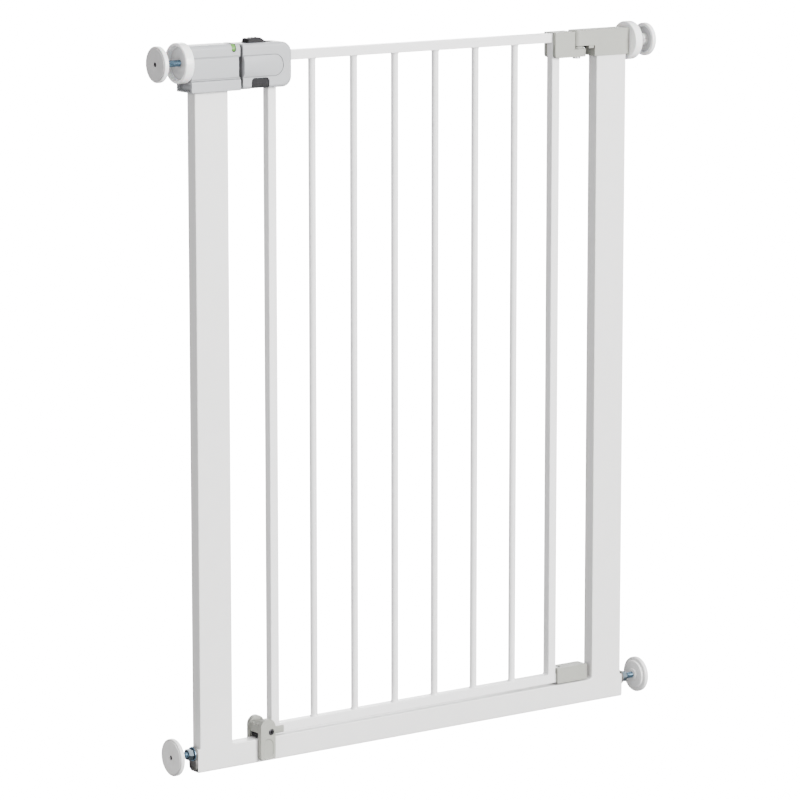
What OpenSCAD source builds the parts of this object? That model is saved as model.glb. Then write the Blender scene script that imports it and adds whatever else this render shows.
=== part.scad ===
// Pressure-fit stair gate with its latch, millimetres.
// Origin at the centre of the bottom rail's underside, +Z up, +X from latch to hinge, -Y front.

/* [Frame] */
// Width across the two posts
gate_w = 670; // [600:1:800]
// Post width seen from the front
post_w = 48; // [30:1:70]
// Post and bottom rail depth
post_d = 18; // [14:1:30]
// Bottom rail height
rail_h = 30; // [20:1:45]
// Bottom rail overhang beyond each post
rail_over = 3.5; // [0:0.5:10]
// Sheet thickness of the posts and the bottom rail
wall = 1.5; // [1:0.1:3]

/* [Door] */
// Side of the square door tubes
tube = 12; // [10:1:20]
// Centre of the latch-side stile
stile_l = -220; // [-240:1:-200]
// Centre of the hinge-side stile
stile_r = 222; // [200:1:240]
// Number of round bars between the stiles
bars = 6; // [3:1:10]
// Bar diameter
bar_d = 9; // [6:0.5:12]
// Underside of the door's bottom rail
door_z0 = 33; // [31:0.5:45]
// Top of the door's top rail
door_z1 = 892; // [800:1:900]
// Hinge axis position
hinge_x = 260; // [250:1:275]

/* [Latch] */
// Underside of the latch housing
house_z0 = 848; // [820:1:870]
// Top of the latch housing
house_z1 = 905; // [890:1:930]
// Depth of the latch housing and of the handle
house_d = 34; // [28:1:44]
// Left end of the latch housing
house_x0 = -344.5; // [-350:0.5:-336]
// Right end of the latch housing
house_x1 = -273; // [-280:0.5:-265]
// Left end of the handle
hand_x0 = -270; // [-272:0.5:-260]
// Right end of the handle
hand_x1 = -197; // [-210:1:-180]
// Shell wall thickness
shell = 2.5; // [1.5:0.1:4]

/* [Adjusters] */
// Height of the latch-side upper spindle
top_zl = 884; // [870:0.5:890]
// Height of the hinge-side upper spindle
top_zr = 876.5; // [870:0.5:890]
// Height of the lower spindles
low_z = 23.5; // [20:0.5:26]
// Spindle diameter
spin_d = 8; // [6:1:12]
// Radial clearance of the running fits
fit = 0.075; // [0.02:0.005:0.1]
// Distance from the centre to the upper left pad's outer face
pad_ul = 386.5; // [380:0.5:400]
// Distance from the centre to the upper right pad's outer face
pad_ur = 377; // [370:0.5:400]
// Distance from the centre to the lower pads' outer faces
pad_low = 373.5; // [370:0.5:400]
// Diameter of the upper pads
pad_du = 46; // [40:1:60]
// Diameter of the lower pads
pad_dl = 47; // [40:1:47]

/* [View] */
// Sub-part to show

/* [Hidden] */
half_w = gate_w / 2;
rail_x = half_w + rail_over;
post_x = half_w - post_w / 2;
bore_d = spin_d + 2 * fit;
pitch = (stile_r - stile_l) / (bars + 1);
steel = [0.93, 0.93, 0.93];
silver = [0.80, 0.81, 0.82];
warm = [0.76, 0.77, 0.74];
white = [0.95, 0.95, 0.95];
zinc = [0.55, 0.62, 0.70];
dark = [0.25, 0.25, 0.27];

// Rounded rectangle centred on the origin.
module rr(w, h, r) {
  square([w - 2 * r, h], center = true);
  square([w, h - 2 * r], center = true);
  for (sx = [-1, 1], sy = [-1, 1])
    translate([sx * (w / 2 - r), sy * (h / 2 - r)])
      circle(r = r, $fn = 48);
}

// Block from one corner to the other.
module blk(x0, x1, y0, y1, z0, z1) {
  translate([x0, y0, z0])
    cube([x1 - x0, y1 - y0, z1 - z0]);
}

// Rounded bar along X.
module bar_x(x0, x1, yc, zc, dy, dz, r) {
  translate([x0, yc, zc])
    rotate([90, 0, 90])
      linear_extrude(x1 - x0)
        rr(dy, dz, r);
}

// Rounded bar along Z.
module bar_z(z0, z1, xc, yc, dx, dy, r) {
  translate([xc, yc, z0])
    linear_extrude(z1 - z0)
      rr(dx, dy, r);
}

// Rounded plate along Y.
module bar_y(y0, y1, xc, zc, dx, dz, r) {
  translate([xc, y1, zc])
    rotate([90, 0, 0])
      linear_extrude(y1 - y0)
        rr(dx, dz, r);
}

// Round bar along X.
module cyl_x(x0, x1, y, z, d) {
  translate([x0, y, z])
    rotate([0, 90, 0])
      cylinder(d = d, h = x1 - x0, $fn = 64);
}

// Round bar along Y.
module cyl_y(y0, y1, x, z, d) {
  translate([x, y1, z])
    rotate([90, 0, 0])
      cylinder(d = d, h = y1 - y0, $fn = 48);
}

// Round bar along Z.
module cyl_z(z0, z1, x, y, d) {
  translate([x, y, z0])
    cylinder(d = d, h = z1 - z0, $fn = 64);
}

// Row of closed rings, one per turn, standing in for a coil spring.
module coil(len, d, wire, turns) {
  for (i = [0 : turns - 1])
    translate([0, 0, wire / 2 + i * (len - wire) / (turns - 1)])
      rotate_extrude($fn = 48)
        translate([d / 2 - wire / 2, 0])
          circle(d = wire, $fn = 16);
}

// Frame
module bottom_rail() color(steel)
  difference() {
    bar_x(-rail_x, rail_x, 0, rail_h / 2, post_d, rail_h, 2.5);
    bar_x(-rail_x - 1, rail_x + 1, 0, rail_h / 2, post_d - 2 * wall, rail_h - 2 * wall, 1.2);
    cyl_z(rail_h - 5, rail_h + 1, hinge_x, 0, 6 + 2 * fit);
  }

module post(xc, z1) color(steel)
  difference() {
    bar_z(rail_h, z1, xc, 0, post_w, post_d, 2);
    bar_z(rail_h - 1, z1 + 1, xc, 0, post_w - 2 * wall, post_d - 2 * wall, 1);
  }

module left_post() post(-post_x, 862);

module right_post() post(post_x, 860);

module plug_right() {
  difference() {
    union() {
      bar_x(rail_x - 16, rail_x, 0, rail_h / 2, post_d - 2 * wall, rail_h - 2 * wall, 1.2);
      bar_x(rail_x, rail_x + 3, 0, 14.5, 17, 25, 4);
      cyl_x(rail_x, rail_x + 3, 0, low_z, 22);
    }
    cyl_x(rail_x - 20, rail_x + 5, 0, low_z, bore_d);
  }
}

module rail_plugs() color(dark) {
  plug_right();
  mirror([1, 0, 0])
    plug_right();
}

module spindle_washers() color(zinc)
  for (s = [-1, 1])
    translate([s * (rail_x + 3.6), 0, low_z])
      rotate([0, 90, 0])
        difference() {
          cylinder(d = 18, h = 1.2, center = true, $fn = 64);
          cylinder(d = bore_d, h = 3, center = true, $fn = 64);
        }

// Latch housing on the left post
module house_body() {
  w = house_x1 - house_x0;
  zc = (house_z0 + 14 + house_z1) / 2;
  h = house_z1 - house_z0 - 14;
  difference() {
    union() {
      bar_x(house_x0, house_x1, 0, zc - 10, house_d - 2, h + 20, 6);
      bar_x(house_x0 + 0.5, house_x1 - 4.5, 0, 876.5, house_d - 0.6, 24, 1.5);
    }
    blk(-350, -270, -20, 20, 830, 862);
    bar_x(house_x0 + shell, house_x1 - shell, 0, zc + 0.5, house_d - 7, h - 6, 4.5);
    cyl_x(house_x0 - 1, house_x0 + 4, 0, top_zl, bore_d);
    blk(house_x1 - 4.5, house_x1 + 1, -20, 20, 864, 889);
    blk(-288, -283, -20, 20, 895, 910);
  }
}

module latch_housing_front() color(silver)
  intersection() {
    house_body();
    blk(-360, -260, -30, 0, 840, 920);
  }

module latch_housing_back() color(silver)
  difference() {
    intersection() {
      house_body();
      blk(-360, -260, 0, 30, 840, 920);
    }
    for (x = [-328, -306])
      cyl_y(10, 20, x, 872, 5);
  }

module post_collar() color(silver)
  difference() {
    bar_x(house_x0, house_x1, 0, 855, house_d, 14, 1.5);
    blk(-335, -287, -9, 9, 840, 870);
    blk(-350, -339, -14, 14, 850, 857);
  }

module housing_screws() color(zinc)
  for (x = [-328, -306])
    difference() {
      cyl_y(10, 15.6, x, 872, 5);
      cyl_y(14.2, 20, x, 872, 2.6);
    }

module spindle_guide() color(dark)
  difference() {
    bar_x(-334, -300, 0, 880, 27, 29, 4.5);
    cyl_x(-336, -298, 0, top_zl, bore_d);
    for (x = [-328, -306])
      cyl_y(10, 20, x, 872, 5);
  }

module keeper_plate() color(zinc)
  difference() {
    blk(-279, -277.6, -13.5, 13.5, 870, 889);
    blk(-280, -276, -6.6, 6.6, 873, 885.6);
  }

module indicator_flag() color([0.45, 0.68, 0.30])
  union() {
    blk(-287.6, -283.4, -11, 5, 895.6, 902);
    cyl_x(-287.6, -283.4, -11.4, 898.8, 6.4);
    blk(-287.6, -283.4, -14.6, -11, 895.6, 898.8);
    blk(-287.6, -283.4, -3, 3, 888, 896);
  }

// Hinge bracket on the right post
module hinge_bracket() color(warm)
  difference() {
    union() {
      blk(hinge_x, rail_x, -11, 11, 874, 894);
      cyl_z(874, 894, hinge_x, 0, 22);
      blk(282, rail_x, -11, 11, 860, 875);
      blk(289.5, 332.5, -7.2, 7.2, 842, 861);
    }
    cyl_z(870, 891.5, hinge_x, 0, 6 + 2 * fit);
    cyl_x(291, rail_x + 1, 0, top_zr, bore_d);
    for (x = [300, 322])
      cyl_y(8, 12, x, 866, 5);
  }

module bracket_screws() color(zinc)
  for (x = [300, 322])
    difference() {
      cyl_y(8, 11.4, x, 866, 5);
      cyl_y(10.2, 13, x, 866, 2.6);
    }

module upper_hinge_pin() color(zinc)
  union() {
    cyl_z(858.5, 887.5, hinge_x, 0, 6);
    cyl_z(857, 859.2, hinge_x, 0, 10);
  }

module lower_hinge_pin() color(zinc)
  union() {
    cyl_z(25.5, 49, hinge_x, 0, 6);
    cyl_z(30.4, 31.6, hinge_x, 0, 9);
  }

// Catch on the bottom rail
module bottom_catch() color(warm)
  difference() {
    union() {
      for (s = [-1, 1])
        translate([0, s * 12.6, 0]) {
          bar_y(-3.6, 3.6, -238, 22, 26, 38, 3);
          cyl_y(-3.6, 3.6, -238, 41, 26);
        }
      blk(-249, -227, -10, 10, 38, 46);
      cyl_x(-249, -227, -4.5, 45, 9);
      cyl_x(-249, -227, 4.5, 45, 9);
    }
    bar_x(-260, -220, 0, rail_h / 2, post_d, rail_h, 2.5);
    blk(-260, -220, -9, 9, 26, 30);
    cyl_y(-17, -12, -233, 38, 8);
    bar_y(-17, -14.8, -238, 17, 17, 24, 7);
  }

module catch_screw() color(dark)
  difference() {
    cyl_y(-15.8, -12, -233, 38, 7.8);
    translate([-233, -14, 38])
      rotate([90, 0, 0])
        cylinder(d = 4.4, h = 3, $fn = 6);
  }

// Door
module stile(xc) color(steel)
  difference() {
    bar_z(door_z0 + tube, door_z1 - tube, xc, 0, tube, tube, 1.5);
    bar_z(door_z0, door_z1, xc, 0, tube - 2.4, tube - 2.4, 0.6);
  }

module door_stile_left() stile(stile_l);

module door_stile_right() stile(stile_r);

module rail(x0, x1, zc) color(steel)
  difference() {
    bar_x(x0, x1, 0, zc, tube, tube, 1.5);
    bar_x(x0 - 1, x1 + 1, 0, zc, tube - 2.4, tube - 2.4, 0.6);
  }

module door_top_rail() rail(stile_l - tube / 2, 240, door_z1 - tube / 2);

module door_bottom_rail() rail(stile_l - tube / 2, 245, door_z0 + tube / 2);

module door_bars() color(steel)
  for (i = [1 : bars])
    cyl_z(door_z0 + tube, door_z1 - tube, stile_l + i * pitch, 0, bar_d);

// Handle on the door
module handle_body() {
  xc = (hand_x0 + hand_x1) / 2;
  w = hand_x1 - hand_x0;
  difference() {
    union() {
      bar_x(hand_x0, hand_x1 - 12, 0, 876.25, house_d - 1, 55.5, 8);
      intersection() {
        bar_x(hand_x0, hand_x1, 0, 876.25, house_d - 1, 55.5, 8);
        bar_y(-30, 30, xc, 876.25, w, 55.5, 12);
      }
    }
    difference() {
      bar_x(hand_x0 + shell, hand_x1 - shell, 0, 876.25, house_d - 6, 50.5, 5);
      for (z = [856, 896])
        cyl_y(-30, 30, -207, z, 9);
    }
    blk(-230, -190, -6, 6, door_z1 - tube, door_z1);
    blk(-226, -214, -6, 6, 840, 860);
    blk(-275, -260, -6.4, 6.4, 869.6, 882.4);
    blk(-253, -219.4, -8, 8, 898, 906);
    blk(-257.5, -231.5, -20, -4, 846, 861.9);
    for (z = [856, 896])
      cyl_y(4, 30, -207, z, 5);
  }
}

module handle_front() color(silver)
  intersection() {
    handle_body();
    blk(-275, -190, -30, 0, 840, 920);
  }

module handle_back() color(silver)
  intersection() {
    handle_body();
    blk(-275, -190, 0, 30, 840, 920);
  }

module handle_panel() color(silver)
  union() {
    blk(-269.5, -224, -19.5, -16.5, 864, 889);
    cyl_y(-19.5, -16.5, -224, 876.5, 25);
  }

module handle_screws() color(zinc)
  for (z = [856, 896])
    difference() {
      cyl_y(4, 12.4, -207, z, 5);
      cyl_y(11, 20, -207, z, 2.6);
    }

module hinge_knuckle() color(warm)
  difference() {
    union() {
      blk(216, 248, -12, 12, 860, 893);
      blk(240, hinge_x, -12, 12, 860, 870);
      cyl_z(860, 870, hinge_x, 0, 24);
    }
    blk(210, 240, -6, 6, 880, 892);
    blk(216, 228, -6, 6, 850, 880);
    cyl_z(850, 875, hinge_x, 0, 6 + 2 * fit);
  }

module lower_shoe() color(warm)
  difference() {
    union() {
      blk(224, 270, -10, 10, 32, 53);
      cyl_z(32, 53, 269, 0, 20);
    }
    blk(220, 245, -6, 6, 30, 45);
    blk(210, 228, -6, 6, 44, 60);
    cyl_z(30, 50, hinge_x, 0, 6 + 2 * fit);
    cyl_z(47, 55, 235, 0, 6);
  }

module shoe_screw() color(zinc)
  difference() {
    cyl_z(47, 52.6, 235, 0, 6);
    cyl_z(51, 54, 235, 0, 3);
  }

module door_end_block() color(warm)
  difference() {
    bar_x(-225.5, -208, 0, 37.5, 15, 10, 1);
    blk(-230, -200, -6, 6, 33, 45);
  }

// Moving parts of the handle
module thumb_button() color(dark)
  union() {
    blk(-252.5, -228, -7.5, 7.5, 899, 906.5);
    blk(-251, -236, -7.5, 7.5, 906, 910);
    blk(-254.5, -226, -9.5, 9.5, 898.8, 901.1);
    blk(-250, -244, -5, 5, 885.5, 900);
  }

module thumb_spring() color(zinc)
  translate([-243.9, 0, 888.6])
    rotate([0, 90, 0])
      coil(17.8, 5, 0.8, 9);

module trigger() color(dark)
  union() {
    bar_y(-16.3, -9, -244.5, 855.4, 25.4, 12.4, 2);
    blk(-258.6, -230.4, -13.4, -11, 857, 863.5);
  }

module trigger_spring() color(zinc)
  translate([-244.5, -9, 858.2])
    rotate([-90, 0, 0])
      coil(22.9, 6, 0.8, 10);

module latch_bolt() color(zinc)
  union() {
    blk(-276.5, -245, -6, 6, 870, 882);
    blk(-262, -258, -9, 9, 868, 884);
  }

module bolt_spring() color(zinc)
  translate([-244.9, 0, 876])
    rotate([0, 90, 0])
      coil(18.8, 8, 1, 9);

// Adjusters, written for the right side and mirrored to the left
module wheel(x0, z) color(white)
  difference() {
    union() {
      cyl_x(x0 + 1, x0 + 11, 0, z, 50);
      cyl_x(x0, x0 + 12, 0, z, 48);
    }
    cyl_x(x0 + 5.5, x0 + 13, 0, z, 42);
    cyl_x(x0 - 1, x0 + 20, 0, z, bore_d);
  }

module spindle(x0, x1, z) color(zinc)
  cyl_x(x0, x1 - 5, 0, z, spin_d);

module pad(x1, z, d, t) color(white)
  difference() {
    union() {
      cyl_x(x1 - t, x1 - 1.5, 0, z, d);
      cyl_x(x1 - 11, x1 - t + 1, 0, z, 15);
    }
    cyl_x(x1 - 12, x1 - 5, 0, z, spin_d);
    cyl_x(x1 - 3, x1, 0, z, d - 4);
  }

module pad_face(x1, z, d) color([0.70, 0.70, 0.71])
  difference() {
    cyl_x(x1 - 3, x1, 0, z, d - 4);
    cyl_x(x1 - 2, x1 + 1, 0, z, 3);
  }

module nut() color(zinc)
  translate([rail_x + 4.8, 0, low_z])
    rotate([0, 90, 0])
      difference() {
        cylinder(d = 15, h = 6.5, $fn = 6);
        translate([0, 0, -1])
          cylinder(d = bore_d, h = 9, $fn = 64);
      }

module wheel_upper_left() mirror([1, 0, 0]) wheel(345.1, top_zl);

module spindle_upper_left() mirror([1, 0, 0]) spindle(312, pad_ul, top_zl);

module pad_upper_left() mirror([1, 0, 0]) pad(pad_ul, top_zl, pad_du, 7);

module pad_face_upper_left() mirror([1, 0, 0]) pad_face(pad_ul, top_zl, pad_du);

module wheel_upper_right() wheel(339, top_zr);

module spindle_upper_right() spindle(312, pad_ur, top_zr);

module pad_upper_right() pad(pad_ur, top_zr, pad_du, 7);

module pad_face_upper_right() pad_face(pad_ur, top_zr, pad_du);

module nut_lower_left() mirror([1, 0, 0]) nut();

module spindle_lower_left() mirror([1, 0, 0]) spindle(312, pad_low, low_z);

module pad_lower_left() mirror([1, 0, 0]) pad(pad_low, low_z, pad_dl, 8.5);

module pad_face_lower_left() mirror([1, 0, 0]) pad_face(pad_low, low_z, pad_dl);

module nut_lower_right() nut();

module spindle_lower_right() spindle(312, pad_low, low_z);

module pad_lower_right() pad(pad_low, low_z, pad_dl, 8.5);

module pad_face_lower_right() pad_face(pad_low, low_z, pad_dl);

bottom_rail();
left_post();
right_post();
rail_plugs();
spindle_washers();
latch_housing_front();
latch_housing_back();
post_collar();
housing_screws();
spindle_guide();
keeper_plate();
indicator_flag();
hinge_bracket();
bracket_screws();
upper_hinge_pin();
lower_hinge_pin();
bottom_catch();
catch_screw();
door_stile_left();
door_stile_right();
door_top_rail();
door_bottom_rail();
door_bars();
handle_front();
handle_back();
handle_panel();
handle_screws();
hinge_knuckle();
lower_shoe();
shoe_screw();
door_end_block();
thumb_button();
thumb_spring();
trigger();
trigger_spring();
latch_bolt();
bolt_spring();
wheel_upper_left();
spindle_upper_left();
pad_upper_left();
pad_face_upper_left();
wheel_upper_right();
spindle_upper_right();
pad_upper_right();
pad_face_upper_right();
nut_lower_left();
spindle_lower_left();
pad_lower_left();
pad_face_lower_left();
nut_lower_right();
spindle_lower_right();
pad_lower_right();
pad_face_lower_right();
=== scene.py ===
import math

import bmesh
import bpy
from mathutils import Matrix, Vector


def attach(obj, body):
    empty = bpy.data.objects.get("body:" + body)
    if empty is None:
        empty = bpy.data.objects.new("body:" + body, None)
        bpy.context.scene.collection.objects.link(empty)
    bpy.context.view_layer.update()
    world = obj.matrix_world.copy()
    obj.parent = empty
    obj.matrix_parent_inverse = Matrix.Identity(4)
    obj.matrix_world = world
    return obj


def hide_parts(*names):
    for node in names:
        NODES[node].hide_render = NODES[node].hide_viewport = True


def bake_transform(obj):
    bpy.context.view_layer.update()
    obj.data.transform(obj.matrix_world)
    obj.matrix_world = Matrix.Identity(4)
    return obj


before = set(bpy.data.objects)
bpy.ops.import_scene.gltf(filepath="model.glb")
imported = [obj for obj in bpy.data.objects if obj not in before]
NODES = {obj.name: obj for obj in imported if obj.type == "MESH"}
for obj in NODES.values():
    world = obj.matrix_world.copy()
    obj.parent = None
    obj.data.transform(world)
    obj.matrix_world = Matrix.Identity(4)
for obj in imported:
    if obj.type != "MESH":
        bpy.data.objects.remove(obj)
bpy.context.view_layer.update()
MM = 0.001

# Measures that several pieces share, in millimetres.
RAIL_END = 338.5  # half length of the bottom rail
POST_OUT, POST_IN = 335, 287  # the posts' two faces, from the middle
RAIL_TOP = 30
LOW_Z = 23.5  # height of the lower spindles
HINGE_X = 260  # the door's turning axis
SLOT_X = -282.5  # middle of the indicator slot
PANEL_X, PANEL_Z, PANEL_R = -224, 876.5, 12.5  # centre and radius of the badge panel's round end
HANDLE_Z = 876.25  # middle of the handle
DOOR_Z = 462.5  # middle of the door
TUBE = 12  # square tube of the door
PIN_BORE = 6.15


# ---------------------------------------------------------------- mesh helpers
def link_mesh(name, bm):
    """Turns a bmesh in millimetres into an object in metres."""
    bmesh.ops.remove_doubles(bm, verts=bm.verts, dist=0.0005)
    bmesh.ops.recalc_face_normals(bm, faces=bm.faces)
    mesh = bpy.data.meshes.new(name)
    bm.to_mesh(mesh)
    bm.free()
    mesh.transform(Matrix.Scale(MM, 4))
    obj = bpy.data.objects.new(name, mesh)
    bpy.context.scene.collection.objects.link(obj)
    return obj


def new_object(name, bm, body, replaces=(), angle=35):
    """Makes a piece that rides on a CAD body."""
    obj = link_mesh(name, bm)
    shade(obj, angle)
    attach(obj, body)
    if replaces:
        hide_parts(*replaces)
    return obj


def shade(obj, angle=35):
    """Smooth shading with edges sharper than the angle kept."""
    mesh = obj.data
    for p in mesh.polygons:
        p.use_smooth = True
    mesh.set_sharp_from_angle(angle=math.radians(angle))


def apply_modifiers(obj):
    """Bakes the object's modifiers into its mesh."""
    bpy.context.view_layer.update()
    dg = bpy.context.evaluated_depsgraph_get()
    mesh = bpy.data.meshes.new_from_object(obj.evaluated_get(dg))
    old = obj.data
    obj.modifiers.clear()
    obj.data = mesh
    bpy.data.meshes.remove(old)


def bevel(obj, width, segments=3, angle=30, weighted=True):
    """Rounds the sharp edges, width in millimetres."""
    b = obj.modifiers.new("bevel", "BEVEL")
    b.width = width * MM
    b.segments = segments
    b.limit_method = "ANGLE"
    b.angle_limit = math.radians(angle)
    b.harden_normals = False
    b.use_clamp_overlap = True
    if weighted:
        w = obj.modifiers.new("weighted", "WEIGHTED_NORMAL")
        w.keep_sharp = True


def paint(obj, mat):
    """Gives the piece one material."""
    obj.data.materials.clear()
    obj.data.materials.append(mat)
    return obj


def finish(obj, mat, angle=35, width=0.0, segments=3, limit=30):
    """Last steps of a piece: softened edges, shading and material."""
    if width:
        bevel(obj, width, segments, limit)
    shade(obj, angle)
    return paint(obj, mat)


def arc(cx, cy, r, a0, a1, n=6):
    """Points on an arc, angles in degrees."""
    angles = [math.radians(a0 + (a1 - a0) * i / n) for i in range(n + 1)]
    return [(cx + r * math.cos(a), cy + r * math.sin(a)) for a in angles]


def rounded_rect(w, h, r, steps=6, cx=0.0, cy=0.0):
    """Corner-rounded rectangle; r is one radius or four, from +x+y counter-clockwise."""
    rs = [r] * 4 if isinstance(r, (int, float)) else list(r)
    pts = []
    for k, (sx, sy) in enumerate([(1, 1), (-1, 1), (-1, -1), (1, -1)]):
        rk = max(rs[k], 0.001)
        ox, oy = cx + sx * (w / 2 - rk), cy + sy * (h / 2 - rk)
        pts += arc(ox, oy, rk, 90 * k, 90 * k + 90, steps)
    return pts


def mirrored(pts):
    """The same outline on the other side of the middle, in reverse order."""
    return [(-y, z) for y, z in reversed(pts)]


def place(axis, along, u, v):
    """A point from its position along an axis and two coordinates across it."""
    if axis == "X":
        return (along, u, v)
    if axis == "Y":
        return (u, along, v)
    return (u, v, along)


def loft(axis, rings):
    """Skins a list of (position, points) rings along an axis."""
    bm = bmesh.new()
    loops = [[bm.verts.new(place(axis, a, u, v)) for u, v in pts] for a, pts in rings]
    n = len(loops[0])
    for a, b in zip(loops, loops[1:]):
        for i in range(n):
            j = (i + 1) % n
            bm.faces.new((a[i], a[j], b[j], b[i]))
    bm.faces.new(list(reversed(loops[0])))
    bm.faces.new(loops[-1])
    return bm


def prism(axis, a0, a1, pts):
    """The same outline from one position to another."""
    return loft(axis, [(min(a0, a1), pts), (max(a0, a1), pts)])


def lathe(axis, profile, u0=0.0, v0=0.0, steps=64, sign=1):
    """Turns a profile of (radius, position) about a line along the axis."""
    bm = bmesh.new()
    turns = [2 * math.pi * i / steps for i in range(steps)]
    loops = []
    for r, a in profile:
        if r < 1e-4:
            spots = [(u0, v0)]
        else:
            spots = [(u0 + r * math.cos(t), v0 + r * math.sin(t)) for t in turns]
        loops.append([bm.verts.new(place(axis, a * sign, u, v)) for u, v in spots])
    for a, b in zip(loops, loops[1:]):
        for i in range(steps):
            j = (i + 1) % steps
            if len(a) == 1 and len(b) == 1:
                continue
            if len(a) == 1:
                bm.faces.new((a[0], b[j], b[i]))
            elif len(b) == 1:
                bm.faces.new((a[i], a[j], b[0]))
            else:
                bm.faces.new((a[i], a[j], b[j], b[i]))
    return bm


def inset_points(pts, d, cx, cy, w, h):
    """Shrinks an outline towards its centre by d on each side."""
    kx, ky = (w - 2 * d) / w, (h - 2 * d) / h
    return [(cx + (x - cx) * kx, cy + (y - cy) * ky) for x, y in pts]


def round_end(a0, a1, edge, seg):
    """Positions and insets of the rings that round both ends of a bar."""
    near, far = [], []
    for i in range(seg + 1):
        t = math.pi / 2 * i / seg
        near.append((a0 + edge * (1 - math.cos(t)), edge * (1 - math.sin(t))))
        far.append((a1 - edge * (1 - math.sin(t)), edge * (1 - math.cos(t))))
    return near + far


def soft_bar(x0, x1, w, h, r, edge, cz):
    """A rounded-rectangle bar along X whose two ends are rounded too."""
    base = rounded_rect(w, h, r, 6, 0, cz)
    ends = round_end(x0, x1, edge, 4)
    return loft("X", [(a, inset_points(base, d, 0, cz, w, h)) for a, d in ends])


def boolean(obj, other, operation):
    """Joins another object's shape to this one, or takes it away, and removes it."""
    m = obj.modifiers.new("boolean", "BOOLEAN")
    m.operation = operation
    m.solver = "EXACT"
    m.object = other
    apply_modifiers(obj)
    old = other.data
    bpy.data.objects.remove(other)
    bpy.data.meshes.remove(old)


def cut(obj, bm):
    """Takes a shape in millimetres out of a piece."""
    boolean(obj, link_mesh("cutter", bm), "DIFFERENCE")


def join(obj, bm):
    """Adds a shape in millimetres to a piece."""
    boolean(obj, link_mesh("addition", bm), "UNION")


def block(x0, x1, y0, y1, z0, z1):
    """A plain box."""
    return prism("X", x0, x1, [(y0, z0), (y1, z0), (y1, z1), (y0, z1)])


# ---------------------------------------------------------------- materials
def node(nt, kind, feeds, **settings):
    """Adds a shader node; an input takes a plain value or another node's output."""
    n = nt.nodes.new(kind)
    for key, value in settings.items():
        setattr(n, key, value)
    feed(nt, n, feeds)
    return n


def feed(nt, n, feeds):
    """Sets or links the inputs of a node."""
    for key, value in feeds.items():
        if isinstance(value, bpy.types.NodeSocket):
            nt.links.new(value, n.inputs[key])
        else:
            n.inputs[key].default_value = value


def noise(nt, vector, scale, detail, roughness=0.5):
    """A noise texture's value."""
    feeds = {"Vector": vector, "Scale": scale, "Detail": detail, "Roughness": roughness}
    return node(nt, "ShaderNodeTexNoise", feeds).outputs["Fac"]


def remap(nt, value, from_min, from_max, to_min, to_max):
    """A value moved from one range to another."""
    feeds = {"Value": value, "From Min": from_min, "From Max": from_max, "To Min": to_min, "To Max": to_max}
    return node(nt, "ShaderNodeMapRange", feeds).outputs["Result"]


def mix(nt, blend, factor, a, b):
    """Two colours mixed; 6 and 7 are the colour inputs and 2 the colour output."""
    feeds = {"Factor": factor, 6: a, 7: b}
    return node(nt, "ShaderNodeMix", feeds, data_type="RGBA", blend_type=blend).outputs[2]


def material(name, colour, roughness, metallic=0.0, coat=0.0, grain=900.0, grain_bump=0.05, mottle=0.03,
             rough_var=0.06, wear=0.0, wear_colour=(0.5, 0.5, 0.5), wave=30.0, wave_bump=0.0, corner_shade=0.0,
             subsurface=0.0, brushed=None, specular=0.5):
    """Procedural finish: colour drift, fine grain, slow waviness, worn edges and painted shade in the corners from
    ambient occlusion.
    """
    m = bpy.data.materials.new(name)
    m.use_nodes = True
    nt = m.node_tree
    b = nt.nodes["Principled BSDF"]
    place_in = nt.nodes.new("ShaderNodeTexCoord").outputs["Object"]
    stretch = {"Vector": place_in, "Scale": brushed or (1, 1, 1)}
    stretched = node(nt, "ShaderNodeMapping", stretch).outputs["Vector"]
    slow = noise(nt, place_in, wave, 4)
    fine = noise(nt, stretched, grain, 6, 0.6)
    drift = remap(nt, slow, 0.3, 0.7, 1 - mottle, 1 + mottle)
    shade_out = mix(nt, "MULTIPLY", 1.0, (*colour, 1), drift)
    # painted shade: the colour darkens where ambient occlusion finds corners, creases and gaps
    if corner_shade:
        ao = node(nt, "ShaderNodeAmbientOcclusion", {"Distance": 0.006}, samples=8)
        painted_shade = remap(nt, ao.outputs["AO"], 0.35, 0.9, 1 - corner_shade, 1.0)
        shade_out = mix(nt, "MULTIPLY", 1.0, shade_out, painted_shade)
    if wear:
        edges = nt.nodes.new("ShaderNodeNewGeometry").outputs["Pointiness"]
        edge = remap(nt, edges, 0.52, 0.60, 0.0, 1.0)
        patch = remap(nt, noise(nt, place_in, 160, 5), 0.5, 0.66, 0.0, wear)
        worn = node(nt, "ShaderNodeMath", {0: edge, 1: patch}, operation="MULTIPLY").outputs["Value"]
        shade_out = mix(nt, "MIX", worn, shade_out, (*wear_colour, 1))
    rough = remap(nt, fine, 0.0, 1.0, max(0.02, roughness - rough_var), min(1.0, roughness + rough_var))
    bump = {"Strength": grain_bump, "Distance": 0.0003, "Height": fine}
    if wave_bump:
        broad = {"Strength": wave_bump, "Distance": 0.001, "Height": slow}
        bump["Normal"] = node(nt, "ShaderNodeBump", broad).outputs["Normal"]
    normal = node(nt, "ShaderNodeBump", bump).outputs["Normal"]
    feed(nt, b, {"Metallic": metallic, "Coat Weight": coat, "Coat Roughness": 0.12, "Specular IOR Level": specular,
                 "Base Color": shade_out, "Roughness": rough, "Normal": normal})
    if subsurface:
        feed(nt, b, {"Subsurface Weight": subsurface, "Subsurface Scale": 0.002})
    return m


# The corner setting of these finishes paints shade into corners and creases, from ambient occlusion.
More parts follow.
